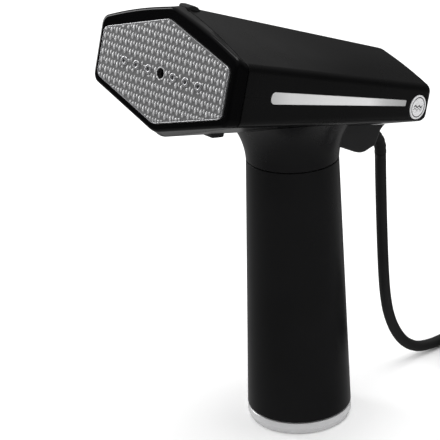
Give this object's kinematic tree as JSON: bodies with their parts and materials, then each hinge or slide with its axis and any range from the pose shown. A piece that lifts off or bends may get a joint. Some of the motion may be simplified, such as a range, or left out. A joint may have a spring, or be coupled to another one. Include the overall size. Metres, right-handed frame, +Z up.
{
  "type": "garment steamer",
  "caption": "Handheld garment steamer with a tapered hexagonal head, a studded steam plate, a water tank that is also the round handle, and a mains cord with a plug.",
  "frame": {"origin": "on the handle's axis, at the flat underside of the tank's foot", "axes": "+Z up along the handle, -Y towards the steam plate, +X to the side that carries the power switch"},
  "size_m": [0.1541, 0.2938, 0.2651],
  "materials": {
    "gloss_black": "polished black plastic with sharp reflections",
    "satin_black": "satin black plastic with fine moulded grain",
    "matte_black": "matte black plastic",
    "trim_chrome": "bright satin chrome",
    "plate_metal": "grey anodised, finely knurled",
    "bush_steel": "turned steel",
    "cast_boiler": "raw die casting",
    "stainless": "plain stainless steel",
    "brass_fittings": "turned brass",
    "natural_plastic": "uncoloured plastic",
    "silicone": "translucent grey silicone",
    "circuit_board": "green board lacquer",
    "lamp_amber": "clear amber plastic",
    "black_rubber": "soft black moulded rubber",
    "plug_pins": "nickel-plated pins"
  },
  "bodies": {
    "tank": {"water_tank": "satin_black", "tank_base_ring": "trim_chrome", "tank_foot": "black_rubber", "power_cord": "black_rubber", "cord_coil": "black_rubber", "cord_tie": "matte_black", "cord_tail": "black_rubber", "plug_body": "black_rubber", "plug_blade_left": "plug_pins", "plug_blade_right": "plug_pins"},
    "head": {"upper_body_shell": "satin_black", "lower_body_shell": "satin_black", "body_screw_1": "stainless", "body_screw_2": "stainless", "body_screw_3": "stainless", "body_screw_4": "stainless", "side_trim_strip_right": "trim_chrome", "side_trim_strip_left": "trim_chrome", "round_badge_right": "trim_chrome", "round_badge_left": "trim_chrome", "steam_plate": "plate_metal", "nozzle_bush_1": "bush_steel", "nozzle_bush_2": "bush_steel", "nozzle_bush_3": "bush_steel", "nozzle_bush_4": "bush_steel", "nozzle_bush_5": "bush_steel", "nozzle_bush_6": "bush_steel", "front_bezel": "gloss_black", "plate_gasket": "silicone", "brush_catch_top": "matte_black", "brush_catch_bottom": "matte_black", "boiler_block": "cast_boiler", "heating_element": "stainless", "heat_shield": "stainless", "boiler_inlet": "brass_fittings", "thermostat": "natural_plastic", "thermal_fuse": "stainless", "water_pump": "natural_plastic", "pump_cradle": "black_rubber", "delivery_hose": "silicone", "control_board": "circuit_board", "rear_panel": "gloss_black", "steam_microswitch": "matte_black", "power_switch_housing": "matte_black", "indicator_lens": "lamp_amber", "panel_screw_1": "stainless", "panel_screw_2": "stainless", "suction_hose": "silicone", "neck_shell": "satin_black", "cord_housing": "satin_black", "tank_socket": "matte_black", "tank_seal_ring": "silicone", "pickup_tube": "natural_plastic", "water_filter": "brass_fittings", "neck_screw_1": "stainless", "neck_screw_2": "stainless", "strain_relief": "black_rubber"},
    "steam_button": {"steam_button": "satin_black"},
    "power_rocker": {"power_rocker": "matte_black"},
    "steam_lock": {"steam_lock_slider": "matte_black"}
  },
  "joints": [
    {"name": "head_off_tank", "type": "slide", "parent": "tank", "child": "head", "axis": [0, 0, 1], "range_m": [0, 0.15]},
    {"name": "steam_button_press", "type": "slide", "parent": "head", "child": "steam_button", "axis": [0, -0.9617, 0.274], "range_m": [0, 0.0025], "stiffness_N_per_m": 600, "springref_m": -0.001},
    {"name": "power_rocker_tilt", "type": "hinge", "parent": "head", "child": "power_rocker", "pos_m": [0.02, 0.06075, 0.18472], "axis": [1, 0, 0], "range_deg": [0, 14]},
    {"name": "steam_lock_slide", "type": "slide", "parent": "head", "child": "steam_lock", "axis": [1, 0, 0], "range_m": [0, 0.006]}
  ]
}
